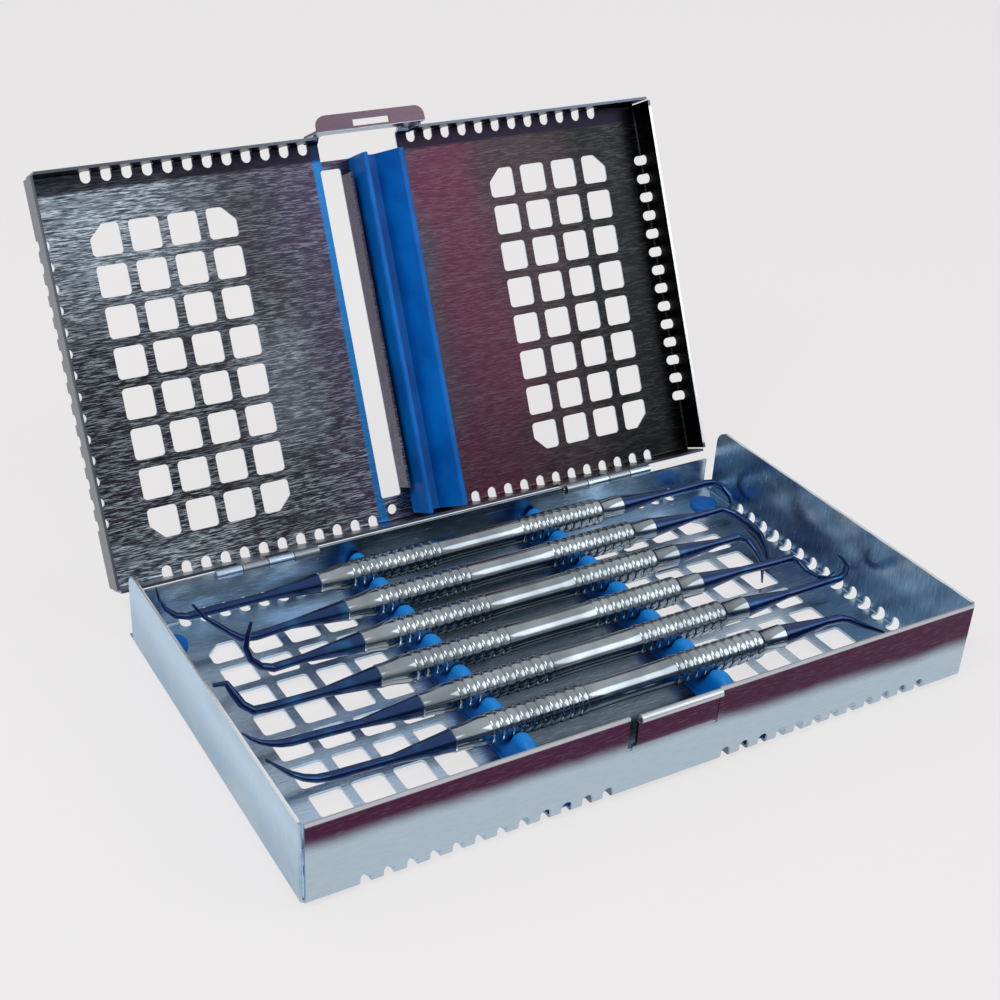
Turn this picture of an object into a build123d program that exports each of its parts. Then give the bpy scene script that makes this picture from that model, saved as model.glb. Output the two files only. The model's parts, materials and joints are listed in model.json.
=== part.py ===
from build123d import *
import math
import os

# Dental instrument cassette, millimetres.
# X runs along the cassette, Y from front to back, Z up.
# The origin is the middle of the opened cassette's footprint, on the plane the feet stand on.

# ---------------------------------------------------------------- sheet metal
SHEET = 0.8                    # stainless sheet
BEND_RADIUS = 0.7              # inner radius of every fold
FOLD = SHEET + BEND_RADIUS     # outer radius of every fold
MITRE = SHEET * math.tan(math.radians(22.5))  # offset of the two faces at a 45 degree jog
CORNER_RELIEF = 1.1            # walls stop this far from each vertical corner
NEST_CLEARANCE = 0.3           # lid wall to tray wall, each side

TRAY_LENGTH = 198.8
TRAY_DEPTH = 117.0
TRAY_HEIGHT = 23.4             # front and side walls, from the underside of the floor
REAR_WALL_HEIGHT = 11.2
EAR_RADIUS = 4.5               # rounded rear top corner of each side wall
EAR_SETBACK = 3.8              # side walls stop this far in front of the rear face

LID_HEIGHT = 28.1              # closed lid's top face above the underside of the tray floor
LID_WALL_DEPTH = 9.6
LID_REAR_WALL_DEPTH = 9.6
LID_CORNER_RADIUS = 2.0

# ---------------------------------------------------------------- perforation
GRID_PITCH = 11.5
GRID_HOLE = 8.9
GRID_HOLE_RADIUS = 1.2
GRID_CHAMFER = 4.0             # outer corner of each panel's four corner holes
GRID_COLUMNS = 4
GRID_ROWS = 8
TRAY_GRID_X = 61.6             # middle of each of the two panels
TRAY_GRID_Y = -1.4
LID_GRID_X = 63.9
LID_GRID_BACK = 56.9           # panel middle, in front of the hinge axis

SLOT_WIDTH = 3.0
SLOT_REACH = 3.7               # how far a slot runs into each face of its fold
SLOT_PITCH = 5.95
SLOT_FIRST_X = 17.9
SLOTS_PER_SIDE = 12
SIDE_SLOT_PITCH = 6.0
SIDE_SLOTS = 14

# ---------------------------------------------------------------- hinges
PIN_DIAMETER = 1.3
PIN_CLEARANCE = 0.05           # radial, pin to rolled knuckle
KNUCKLE_PITCH = 7.9
KNUCKLE_GAP = 0.3              # between neighbouring knuckles
KNUCKLES = 4                   # tray, lid, tray, lid from the outside in
HINGE_OUTER_X = 73.8
HINGE_HEIGHT = 13.6            # pin axis above the underside of the tray floor
KNUCKLE_SEAM = 0.4             # open gap where the rolled sheet meets itself
HINGE_NOTCH_HEIGHT = 9.4       # bottom of the cut-out behind each lid knuckle
OPEN_ANGLE = 116.0             # lid against its stop

# ---------------------------------------------------------------- latch
TONGUE_WIDTH = 24.0
TONGUE_SLIT = 1.5
TONGUE_START = 14.6            # where the spring tongue steps out of the front wall
TONGUE_STEP = 1.4              # how far it stands in front of the wall
TONGUE_TOP = 22.8              # underside of its rolled hem
HEM_DIAMETER = 2.2
CATCH_WIDTH = 26.0             # window in the lid's front fold
CATCH_PLATE_REACH = 6.2
CATCH_WALL_REACH = 5.8
TAB_WIDTH = 35.0
TAB_DEPTH = 12.9               # underside of the thumb tab below the lid's top face
TAB_PROJECTION = 3.9
TAB_RADIUS = 3.0
TAB_SLOT_LENGTH = 11.8
TAB_SLOT_WIDTH = 1.9

# ---------------------------------------------------------------- lid strip
WINDOW_LEFT = -13.6
WINDOW_RIGHT = -7.0
WINDOW_BACK = 8.7              # window ends, in front of the hinge axis
WINDOW_FRONT = 107.9
WINDOW_RADIUS = 0.8
FLANGE_DEPTH = 7.0             # lanced flange along the window, below the lid's top face
FLANGE_INSET = 2.2             # the flange stops short of the window ends
STRIP_X = 2.6                  # middle of the hold-down strip
STRIP_WIDTH = 13.4
STRIP_DEPTH = 12.3             # lip tips below the lid's top face
STRIP_BACK = 2.4
STRIP_FRONT = 110.4
STRIP_LIP = 1.6
STRIP_GROOVE = 8.2
STRIP_GROOVE_FLOOR = 4.4
STRIP_PEGS = 3
PEG_PITCH = 44.0
PEG_DIAMETER = 4.0
PEG_HEAD_DIAMETER = 6.0
PEG_HEAD_HEIGHT = 0.8
DRAIN_HOLE_X = -10.9
DRAIN_HOLE_BACK = 4.9
DRAIN_HOLE_DIAMETER = 3.0

# ---------------------------------------------------------------- rails and feet
RAIL_X = 30.3
RAIL_WIDTH = 7.0
RAIL_PLACES = 7
PLACE_PITCH = 15.8
RAIL_TOP = 9.6                 # crest height between cradles
CREST_RADIUS = 2.4
RAIL_END = 5.0                 # crest beyond the first and last cradle
RAIL_PEG_PITCH = 47.4
SILICONE_GAP = 0.3             # handle to cradle

FOOT_HEIGHT = 1.2              # below the floor
FOOT_DIAMETER = 8.6
FOOT_STEM_DIAMETER = 5.0
FOOT_CAP_HEIGHT = 1.4
FOOT_SIDE_INSET = 8.8          # foot centres from the tray's faces
FOOT_REAR_INSET = 10.9
FOOT_FRONT_INSET = 8.1

# ---------------------------------------------------------------- instruments
HANDLE_LENGTH = 103.5
HANDLE_AXIS_HEIGHT = 9.3       # above the underside of the floor
GRIP_DIAMETER = 8.2
WAIST_DIAMETER = 7.2
NECK_DIAMETER = 6.4
COLLAR_DIAMETER = 6.6
NECK_LENGTH = 4.0
TAPER_LENGTH = 8.8
GRIP_LENGTH = 26.5
COLLAR_LENGTH = 8.0
RING_PITCH = 3.2
RING_GROOVE = 0.9
RING_DEPTH = 0.35
SOCKET_LENGTH = 16.0
SHANK_DIAMETER = 2.5
SHANK_STATIONS = 5             # sections round each shank's bends
BLADE_START = 0.6              # share of the bends after which the working end narrows

# Each instrument: place on the rail (0 is the rearmost), shift along X, and the two working
# ends.  A working end is its roll about the handle (0 is up, 90 is towards the back), the
# bends of its shank as (distance from the handle, offset), and its width and thickness
# half-way round the last bend and at the point.
INSTRUMENTS = [
    dict(place=0, shift=4.8,
         left=(20, [(35.4, 0.0), (39.7, 0.2), (43.2, 1.9), (45.7, 5.7), (46.2, 10.0)], (2.6, 1.4), (0.6, 0.4)),
         right=(60, [(33.0, 0.0), (37.5, -1.2), (39.3, -4.6), (38.9, -9.0), (35.4, -11.5)], (2.2, 1.8), (1.2, 1.0))),
    dict(place=1, shift=5.8,
         left=(15, [(26.5, -0.6), (30.0, -0.4), (35.7, 4.4), (40.0, 8.5), (42.6, 12.6)], (1.9, 1.6), (0.8, 0.7)),
         right=(75, [(26.5, 0.0), (29.6, -3.5), (31.0, -8.5), (31.2, -16.0), (28.0, -24.0)], (4.4, 2.2), (2.0, 1.4))),
    dict(place=2, shift=3.0,
         left=(10, [(25.4, -0.3), (29.0, 1.3), (32.2, 6.1), (31.5, 10.4), (30.0, 14.4)], (1.8, 1.6), (1.0, 0.8)),
         right=(67, [(23.6, 0.0), (26.5, -3.4), (25.8, -10.7), (21.6, -17.0)], (1.5, 1.3), (0.5, 0.5))),
    dict(place=3, shift=0.0,
         left=(30, [(31.0, 0.2), (35.1, 0.9), (37.6, 4.2), (39.6, 8.9), (43.0, 9.4)], (2.6, 2.2), (1.4, 1.2)),
         right=(70, [(33.6, -0.6), (35.6, -4.4), (36.6, -8.4), (40.0, -10.5), (44.0, -9.4)], (1.9, 1.4), (0.6, 0.5))),
    dict(place=4, shift=4.0,
         left=(20, [(35.0, 0.8), (40.1, 1.8), (44.1, 3.8), (46.8, 6.4)], (1.5, 1.3), (0.5, 0.5)),
         right=(30, [(33.0, 0.0), (37.0, 0.5), (38.8, 3.0), (36.6, 6.6)], (2.2, 1.4), (0.8, 0.6))),
    dict(place=5, shift=4.6,
         left=(25, [(32.7, 0.6), (36.4, 1.2), (41.0, 3.4), (46.8, 8.6)], (3.4, 1.6), (4.2, 0.9)),
         right=(45, [(21.0, -0.4), (25.0, -2.4), (33.6, -7.8)], (2.0, 1.6), (1.0, 0.8))),
]

# ---------------------------------------------------------------- derived places
FLOOR_Z = FOOT_HEIGHT
FLOOR_TOP = FLOOR_Z + SHEET
KNUCKLE_RADIUS = PIN_DIAMETER / 2 + PIN_CLEARANCE + SHEET
HINGE_Y = TRAY_DEPTH / 2 - KNUCKLE_RADIUS
HINGE_Z = FLOOR_Z + HINGE_HEIGHT
LID_LENGTH = TRAY_LENGTH + 2 * (NEST_CLEARANCE + SHEET)
LID_FRONT_Y = -TRAY_DEPTH / 2 - NEST_CLEARANCE - SHEET
LID_REAR_Y = HINGE_Y - KNUCKLE_RADIUS + SHEET
LID_DEPTH = LID_REAR_Y - LID_FRONT_Y
LID_MID_Y = (LID_REAR_Y + LID_FRONT_Y) / 2
LID_TOP = FLOOR_Z + LID_HEIGHT
FOOT_X = TRAY_LENGTH / 2 - FOOT_SIDE_INSET
FOOT_REAR_Y = TRAY_DEPTH / 2 - FOOT_REAR_INSET
FOOT_FRONT_Y = FOOT_FRONT_INSET - TRAY_DEPTH / 2
RAIL_MID_Y = 0.0
CUT = 1.0                      # how far cutting tools run past the faces they cut


def place_y(place):
    """Y of one of the instrument places, counted from the rear."""
    return RAIL_MID_Y + ((RAIL_PLACES - 1) / 2 - place) * PLACE_PITCH


# ---------------------------------------------------------------- sheet parts
def folded_pan(length, depth, height):
    """Open pan with four walls folded up from one sheet; its outer bottom face is at Z 0."""
    outer = Box(length, depth, height, align=(Align.CENTER, Align.CENTER, Align.MIN))
    outer = fillet(outer.edges().group_by(Axis.Z)[0], FOLD)
    inner = Pos(0, 0, SHEET) * Box(length - 2 * SHEET, depth - 2 * SHEET, height,
                                   align=(Align.CENTER, Align.CENTER, Align.MIN))
    inner = fillet(inner.edges().group_by(Axis.Z)[0], BEND_RADIUS)
    pan = outer - inner
    relief = Box(2 * CORNER_RELIEF, 2 * CORNER_RELIEF, 4 * height)
    for x in (-length / 2, length / 2):
        for y in (-depth / 2, depth / 2):
            pan -= Pos(x, y, 0) * relief
    return pan


def grid_panel():
    """Square holes of one perforated panel, its four outer corner holes chamfered."""
    holes = Sketch()
    for column in range(GRID_COLUMNS):
        for row in range(GRID_ROWS):
            x = (column - (GRID_COLUMNS - 1) / 2) * GRID_PITCH
            y = (row - (GRID_ROWS - 1) / 2) * GRID_PITCH
            hole = Pos(x, y) * Rectangle(GRID_HOLE, GRID_HOLE)
            side = {0: -1, GRID_COLUMNS - 1: 1}.get(column)
            end = {0: -1, GRID_ROWS - 1: 1}.get(row)
            if side and end:
                outer = hole.vertices().sort_by_distance(Vector(10 * x, 10 * y, 0))[0]
                hole = chamfer(outer, GRID_CHAMFER)
            holes += fillet(hole.vertices(), GRID_HOLE_RADIUS)
    return holes


def end_slots(edge):
    """Slots across a fold that runs along X at the given position, twelve on each side."""
    slot = SlotOverall(2 * SLOT_REACH, SLOT_WIDTH, rotation=90)
    slots = Sketch()
    for i in range(SLOTS_PER_SIDE):
        for side in (-1, 1):
            slots += Pos(side * (SLOT_FIRST_X + i * SLOT_PITCH), edge) * slot
    return slots


def side_slots(edge, middle):
    """Slots across a fold that runs along the second axis, fourteen about its middle."""
    slot = SlotOverall(2 * SLOT_REACH, SLOT_WIDTH)
    slots = Sketch()
    for i in range(SIDE_SLOTS):
        slots += Pos(edge, middle + (i - (SIDE_SLOTS - 1) / 2) * SIDE_SLOT_PITCH) * slot
    return slots


def knuckle(x_low, x_high, tab_top, behind):
    """Rolled knuckle about the hinge axis with the tab that carries it.

    The tab runs up or down to the height tab_top, behind or in front of the pin.
    """
    width = x_high - x_low
    face = 1 if behind else -1
    ring = Circle(KNUCKLE_RADIUS) - Circle(KNUCKLE_RADIUS - SHEET)
    run = tab_top - HINGE_Z
    away = math.copysign(1, run)
    tab = Pos(face * (KNUCKLE_RADIUS - SHEET / 2), run / 2) * Rectangle(SHEET, abs(run))
    opening = Pos(0, away * (KNUCKLE_RADIUS - SHEET / 2)) * Rectangle(KNUCKLE_SEAM, 2 * SHEET)
    profile = ring + tab - opening
    plane = Plane(origin=(x_low, HINGE_Y, HINGE_Z), x_dir=(0, 1, 0), z_dir=(1, 0, 0))
    return extrude(plane * profile, width)


def knuckle_span(index, side):
    """Low and high X of one knuckle, index 0 being the outermost."""
    outer = HINGE_OUTER_X - index * KNUCKLE_PITCH - KNUCKLE_GAP / 2
    inner = outer - KNUCKLE_PITCH + KNUCKLE_GAP
    return (inner, outer) if side > 0 else (-outer, -inner)


def tray_floor_cuts():
    """Everything punched through the tray floor and its folds, as one sketch."""
    cuts = end_slots(-TRAY_DEPTH / 2) + end_slots(TRAY_DEPTH / 2)
    cuts += side_slots(TRAY_LENGTH / 2, 0)
    for side in (-1, 1):
        cuts += Pos(side * TRAY_GRID_X, TRAY_GRID_Y) * grid_panel()
        for i in (-1, 0, 1):
            cuts += Pos(side * RAIL_X, i * RAIL_PEG_PITCH) * Circle(PEG_DIAMETER / 2)
        for y in (FOOT_REAR_Y, FOOT_FRONT_Y):
            cuts += Pos(side * FOOT_X, y) * Circle(FOOT_STEM_DIAMETER / 2)
    return cuts


def latch_tongue():
    """Spring tongue of the front wall: stepped forward, with a rolled hem along its top."""
    face = -TRAY_DEPTH / 2
    z0 = FLOOR_Z + TONGUE_START
    z1 = FLOOR_Z + TONGUE_TOP
    hem = HEM_DIAMETER / 2
    front = face - TONGUE_STEP
    step = Polyline((face + SHEET, z0 - TONGUE_STEP), (face + SHEET, z0), (front + SHEET, z0 + TONGUE_STEP),
                    (front + SHEET, z1 + hem), (front, z1 + hem), (front, z0 + TONGUE_STEP - MITRE),
                    (face, z0 - MITRE), (face, z0 - TONGUE_STEP), close=True)
    profile = make_face(step)
    roll = Pos(front + SHEET - hem, z1 + hem) * (Circle(hem) - Circle(hem - SHEET))
    plane = Plane(origin=(-TONGUE_WIDTH / 2, 0, 0), x_dir=(0, 1, 0), z_dir=(1, 0, 0))
    return extrude(plane * (profile + roll), TONGUE_WIDTH)


def tray_shell():
    """Perforated tray with tray-side hinge knuckles and the latch tongue."""
    tray = Pos(0, 0, FLOOR_Z) * folded_pan(TRAY_LENGTH, TRAY_DEPTH, TRAY_HEIGHT)
    cuts = Pos(0, 0, FLOOR_Z - CUT) * tray_floor_cuts()
    tray -= extrude(cuts, CUT + FOLD)
    wall_plane = Plane(origin=(0, 0, FLOOR_Z), x_dir=(1, 0, 0), z_dir=(0, -1, 0))
    slots = wall_plane * end_slots(0)
    tray -= Pos(0, -TRAY_DEPTH / 2 + FOLD, 0) * extrude(slots, FOLD + CUT)
    tray -= Pos(0, TRAY_DEPTH / 2 + CUT, 0) * extrude(slots, FOLD + CUT)
    side_plane = Plane(origin=(TRAY_LENGTH / 2 - FOLD, 0, FLOOR_Z), x_dir=(0, 0, 1), z_dir=(1, 0, 0))
    tray -= extrude(side_plane * side_slots(0, 0), FOLD + CUT)

    rear_gap = TRAY_HEIGHT - REAR_WALL_HEIGHT
    tray -= Pos(0, TRAY_DEPTH / 2, FLOOR_Z + REAR_WALL_HEIGHT) * Box(
        2 * TRAY_LENGTH, 2 * EAR_SETBACK, 2 * rear_gap, align=(Align.CENTER, Align.CENTER, Align.MIN))
    for side in (-1, 1):
        corner = Pos(side * TRAY_LENGTH / 2, TRAY_DEPTH / 2, FLOOR_Z + FOLD)
        tray -= corner * Box(2 * FOLD, 2 * EAR_SETBACK, 2 * TRAY_HEIGHT,
                             align=(Align.CENTER, Align.CENTER, Align.MIN))
        ear = tray.edges().filter_by(Axis.X).group_by(Axis.Z)[-1].sort_by(Axis.Y)
        ear = [e for e in ear if e.center().Y > TRAY_DEPTH / 2 - 2 * EAR_SETBACK and e.center().X * side > 0]
        tray = fillet(ear, EAR_RADIUS)

    for side in (-1, 1):
        for index in range(KNUCKLES):
            low, high = knuckle_span(index, side)
            if index % 2 == 0:
                tray += knuckle(low, high, FLOOR_Z + REAR_WALL_HEIGHT - CUT, True)
            else:
                notch = Box(KNUCKLE_PITCH + KNUCKLE_GAP, 4 * SHEET, TRAY_HEIGHT,
                            align=(Align.CENTER, Align.CENTER, Align.MIN))
                tray -= Pos((low + high) / 2, TRAY_DEPTH / 2, FLOOR_Z + HINGE_NOTCH_HEIGHT) * notch

    opening = Box(TONGUE_WIDTH + 2 * TONGUE_SLIT, 4 * SHEET, TRAY_HEIGHT,
                  align=(Align.CENTER, Align.CENTER, Align.MIN))
    tray -= Pos(0, -TRAY_DEPTH / 2, FLOOR_Z + TONGUE_START - TONGUE_STEP) * opening
    tray += latch_tongue()
    return tray


def lid_plate_cuts():
    """Everything punched through the lid plate, drawn in the cassette's X and Y."""
    cuts = end_slots(LID_FRONT_Y) + end_slots(LID_REAR_Y)
    for side in (-1, 1):
        cuts += side_slots(side * LID_LENGTH / 2, LID_MID_Y)
        cuts += Pos(side * LID_GRID_X, HINGE_Y - LID_GRID_BACK) * grid_panel()
    width = WINDOW_RIGHT - WINDOW_LEFT
    long = WINDOW_FRONT - WINDOW_BACK
    middle = HINGE_Y - (WINDOW_FRONT + WINDOW_BACK) / 2
    cuts += Pos((WINDOW_LEFT + WINDOW_RIGHT) / 2, middle) * RectangleRounded(width, long, WINDOW_RADIUS)
    cuts += Pos(0, LID_FRONT_Y) * Rectangle(CATCH_WIDTH, 2 * CATCH_PLATE_REACH)
    cuts += Pos(DRAIN_HOLE_X, HINGE_Y - DRAIN_HOLE_BACK) * Circle(DRAIN_HOLE_DIAMETER / 2)
    for y in strip_pegs():
        cuts += Pos(STRIP_X, y) * Circle(PEG_DIAMETER / 2)
    return cuts


def strip_pegs():
    """Y of the pegs that hold the strip in the lid plate."""
    middle = HINGE_Y - (STRIP_BACK + STRIP_FRONT) / 2
    return [middle + (i - (STRIP_PEGS - 1) / 2) * PEG_PITCH for i in range(STRIP_PEGS)]


def thumb_front():
    """Middle of the lid's front wall, pressed forward over the tongue, with the thumb tab."""
    wall = LID_FRONT_Y + SHEET
    inner = wall - TONGUE_STEP
    outer = inner - SHEET
    high = LID_TOP - FOLD
    low = LID_TOP - TAB_DEPTH
    profile = make_face(Polyline((wall, high), (inner, high - TONGUE_STEP), (inner, low), (outer, low),
                                 (outer, high - TONGUE_STEP + MITRE), (LID_FRONT_Y, high + MITRE),
                                 (wall, high + MITRE), close=True))
    plane = Plane(origin=(-TAB_WIDTH / 2, 0, 0), x_dir=(0, 1, 0), z_dir=(1, 0, 0))
    front = extrude(plane * profile, TAB_WIDTH)
    web_low = LID_TOP - LID_WALL_DEPTH
    web = Box(SHEET, wall - outer, high - TONGUE_STEP - web_low,
              align=(Align.CENTER, Align.MIN, Align.MIN))
    for side in (-1, 1):
        front += Pos(side * (TAB_WIDTH - SHEET) / 2, outer, web_low) * web
    tab = Pos(0, inner, low) * Box(TAB_WIDTH, SHEET + TAB_PROJECTION, SHEET,
                                   align=(Align.CENTER, Align.MAX, Align.MIN))
    tips = tab.edges().filter_by(Axis.Z).group_by(Axis.Y)[0]
    tab = fillet(tips, TAB_RADIUS)
    slot = Pos(0, outer - TAB_SLOT_WIDTH / 2, low) * Box(TAB_SLOT_LENGTH, TAB_SLOT_WIDTH, 4 * SHEET)
    return front + tab - slot


def lid_shell():
    """Perforated lid in its closed position."""
    lid = folded_pan(LID_LENGTH, LID_DEPTH, LID_WALL_DEPTH)
    lid = Pos(0, LID_MID_Y, LID_TOP) * Rot(180, 0, 0) * lid
    plate_cuts = Pos(0, 0, LID_TOP - FOLD) * lid_plate_cuts()
    lid -= extrude(plate_cuts, FOLD + CUT)
    wall_plane = Plane(origin=(0, 0, LID_TOP), x_dir=(1, 0, 0), z_dir=(0, -1, 0))
    slots = wall_plane * end_slots(0)
    lid -= Pos(0, LID_FRONT_Y + FOLD, 0) * extrude(slots, FOLD + CUT)
    lid -= Pos(0, LID_REAR_Y + CUT, 0) * extrude(slots, FOLD + CUT)
    side_plane = Plane(origin=(0, 0, LID_TOP), x_dir=(0, 0, 1), z_dir=(1, 0, 0))
    side = extrude(side_plane * side_slots(0, 0), FOLD + CUT)
    lid -= Pos(LID_LENGTH / 2 - FOLD, LID_MID_Y, 0) * side
    lid -= Pos(-LID_LENGTH / 2 - CUT, LID_MID_Y, 0) * side

    middle = Box(TAB_WIDTH - 2 * SHEET, 4 * SHEET, 2 * LID_WALL_DEPTH,
                 align=(Align.CENTER, Align.CENTER, Align.MAX))
    lid -= Pos(0, LID_FRONT_Y, LID_TOP - FOLD) * middle
    lid += thumb_front()
    catch = Box(CATCH_WIDTH, 4 * FOLD, CATCH_WALL_REACH + CUT, align=(Align.CENTER, Align.CENTER, Align.MAX))
    lid -= Pos(0, LID_FRONT_Y, LID_TOP + CUT) * catch

    long = WINDOW_FRONT - WINDOW_BACK - 2 * FLANGE_INSET
    flange = Box(SHEET, long, FLANGE_DEPTH, align=(Align.MIN, Align.CENTER, Align.MAX))
    lid += Pos(WINDOW_RIGHT, HINGE_Y - (WINDOW_FRONT + WINDOW_BACK) / 2, LID_TOP) * flange

    for side in (-1, 1):
        for index in range(1, KNUCKLES, 2):
            low, high = knuckle_span(index, side)
            lid += knuckle(low, high, LID_TOP - LID_REAR_WALL_DEPTH + CUT, False)
    return lid


def hinge_pin(side):
    """Plain pin through the four knuckles of one hinge."""
    low = knuckle_span(0, side)
    high = knuckle_span(KNUCKLES - 1, side)
    ends = sorted(low + high)
    plane = Plane(origin=(ends[0], HINGE_Y, HINGE_Z), z_dir=(1, 0, 0))
    return extrude(plane * Circle(PIN_DIAMETER / 2), ends[-1] - ends[0])


# ---------------------------------------------------------------- silicone
def silicone_peg(below):
    """Peg through the sheet with a flat head on the far side; Z 0 is the near face."""
    neck = Cylinder(PEG_DIAMETER / 2, SHEET, align=(Align.CENTER, Align.CENTER, Align.MAX))
    head = Pos(0, 0, -SHEET) * Cylinder(PEG_HEAD_DIAMETER / 2, PEG_HEAD_HEIGHT,
                                        align=(Align.CENTER, Align.CENTER, Align.MAX))
    peg = neck + head
    return peg if below else Rot(180, 0, 0) * peg


def tray_rail(side):
    """Scalloped silicone rail that cradles the handles, pegged through the floor."""
    cradle_radius = GRIP_DIAMETER / 2 + SILICONE_GAP
    length = (RAIL_PLACES - 1) * PLACE_PITCH + 2 * (cradle_radius + RAIL_END)
    body = Pos(0, 0, FLOOR_TOP) * Box(RAIL_WIDTH, length, RAIL_TOP,
                                      align=(Align.CENTER, Align.CENTER, Align.MIN))
    axis_z = FLOOR_Z + HANDLE_AXIS_HEIGHT
    for place in range(RAIL_PLACES):
        groove = Rot(0, 90, 0) * Cylinder(cradle_radius, 2 * RAIL_WIDTH)
        mouth = Box(2 * RAIL_WIDTH, 2 * cradle_radius, RAIL_TOP, align=(Align.CENTER, Align.CENTER, Align.MIN))
        body -= Pos(0, place_y(place), axis_z) * (groove + mouth)
    crests = body.edges().filter_by(Axis.X).group_by(Axis.Z)[-1]
    body = fillet(crests, CREST_RADIUS)
    rail = Pos(side * RAIL_X, RAIL_MID_Y, 0) * body
    for i in (-1, 0, 1):
        rail += Pos(side * RAIL_X, RAIL_MID_Y + i * RAIL_PEG_PITCH, FLOOR_TOP) * silicone_peg(True)
    return rail


def lid_strip():
    """Hold-down strip in the lid: two soft lips with a groove between, pegged to the plate."""
    inner = LID_TOP - SHEET
    tip = LID_TOP - STRIP_DEPTH
    half = STRIP_WIDTH / 2
    outline = make_face(Polyline((-half, inner), (half, inner), (half, tip), (half - STRIP_LIP, tip),
                                 (half - STRIP_LIP - STRIP_GROOVE_FLOOR, tip + STRIP_GROOVE),
                                 (-half + STRIP_LIP, tip + STRIP_GROOVE), (-half + STRIP_LIP, tip),
                                 (-half, tip), close=True))
    outline = fillet(outline.vertices().group_by(Axis.Y)[0], STRIP_LIP / 2 - 0.05)
    length = STRIP_FRONT - STRIP_BACK
    plane = Plane(origin=(STRIP_X, HINGE_Y - STRIP_BACK, 0), x_dir=(1, 0, 0), z_dir=(0, -1, 0))
    strip = extrude(plane * outline, length)
    for y in strip_pegs():
        strip += Pos(STRIP_X, y, inner) * silicone_peg(False)
    return strip


def foot(x, y):
    """Silicone foot: pad below the floor, stem through it and a domed cap inside."""
    pad = Cylinder(FOOT_DIAMETER / 2, FOOT_HEIGHT, align=(Align.CENTER, Align.CENTER, Align.MIN))
    stem = Cylinder(FOOT_STEM_DIAMETER / 2, FLOOR_TOP, align=(Align.CENTER, Align.CENTER, Align.MIN))
    cap = Pos(0, 0, FLOOR_TOP) * Cylinder(FOOT_DIAMETER / 2, FOOT_CAP_HEIGHT,
                                          align=(Align.CENTER, Align.CENTER, Align.MIN))
    cap = fillet(cap.edges().group_by(Axis.Z)[-1], FOOT_CAP_HEIGHT / 2)
    return Pos(x, y, 0) * (pad + stem + cap)


# ---------------------------------------------------------------- instruments
def handle_profile():
    """Half outline of a handle from its left end, as (distance, radius)."""
    grip = GRIP_DIAMETER / 2
    waist = WAIST_DIAMETER / 2
    left_grip = NECK_LENGTH + TAPER_LENGTH
    right_grip = HANDLE_LENGTH - COLLAR_LENGTH - GRIP_LENGTH
    points = [(0, 0), (0, NECK_DIAMETER / 2), (NECK_LENGTH, NECK_DIAMETER / 2), (left_grip, grip)]
    for start in (left_grip, right_grip):
        rings = int(GRIP_LENGTH / RING_PITCH)
        margin = (GRIP_LENGTH - (rings - 1) * RING_PITCH) / 2
        if start == right_grip:
            points += [(left_grip + GRIP_LENGTH, waist), (right_grip, waist), (right_grip, grip)]
        for i in range(rings):
            middle = start + margin + i * RING_PITCH
            points += [(middle - RING_GROOVE / 2, grip), (middle - RING_GROOVE / 2, grip - RING_DEPTH),
                       (middle + RING_GROOVE / 2, grip - RING_DEPTH), (middle + RING_GROOVE / 2, grip)]
        points.append((start + GRIP_LENGTH, grip))
    collar = HANDLE_LENGTH - COLLAR_LENGTH
    points += [(collar, COLLAR_DIAMETER / 2), (HANDLE_LENGTH, COLLAR_DIAMETER / 2), (HANDLE_LENGTH, 0)]
    return points


def handle_centre(tool):
    """Middle of one instrument's handle."""
    return Vector(tool["shift"], place_y(tool["place"]), FLOOR_Z + HANDLE_AXIS_HEIGHT)


def handle(tool):
    """Turned metal handle with a tapered neck, two ringed grips and a plain collar."""
    outline = make_face(Plane.XZ * Polyline(*handle_profile(), close=True))
    bar = revolve(outline, Axis.X)
    return Pos(handle_centre(tool)) * Pos(-HANDLE_LENGTH / 2, 0, 0) * bar


def working_end(tool, side):
    """Coated shank and working end at one end of a handle."""
    roll, bends, middle, point = tool["left" if side < 0 else "right"]
    base = (NECK_DIAMETER if side < 0 else COLLAR_DIAMETER) / 2 - 0.2
    shank = SHANK_DIAMETER / 2
    socket = Rot(0, 90, 0) * Cone(base, shank, SOCKET_LENGTH, align=(Align.CENTER, Align.CENTER, Align.MIN))
    first = Vector(SOCKET_LENGTH, 0, 0)
    turns = [Vector(u, 0, v) for u, v in bends]
    straight = Line(first, turns[0])
    curve = Spline(*turns, tangents=[turns[0] - first, turns[-1] - turns[-2]])
    stations = [(straight, 0, shank, shank), (straight, 1, shank, shank)]
    for i in range(1, SHANK_STATIONS + 1):
        t = i / SHANK_STATIONS
        rise = min(t / BLADE_START, 1)
        fall = max(t - BLADE_START, 0) / (1 - BLADE_START)
        radii = [shank + (wide / 2 - shank) * rise + (last - wide) / 2 * fall
                 for wide, last in zip(middle, point)]
        stations.append((curve, t, *radii))
    sections = []
    for line, t, across, through in stations:
        plane = Plane(origin=line @ t, x_dir=(0, 1, 0), z_dir=line % t)
        sections.append(plane * Ellipse(across, through))
    shaft = loft(sections, ruled=True)
    end = socket + shaft
    end = Rot(-roll, 0, 0) * end
    end = Pos(HANDLE_LENGTH / 2, 0, 0) * end
    if side < 0:
        end = mirror(end, Plane.YZ)
    return Pos(handle_centre(tool)) * end


def centred(parts):
    """The parts moved along Y until the footprint of them all is centred on the origin."""
    boxes = [shape.bounding_box() for shape in parts.values()]
    middle = (min(box.min.Y for box in boxes) + max(box.max.Y for box in boxes)) / 2
    return {name: Pos(0, -middle, 0) * shape for name, shape in parts.items()}


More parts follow.
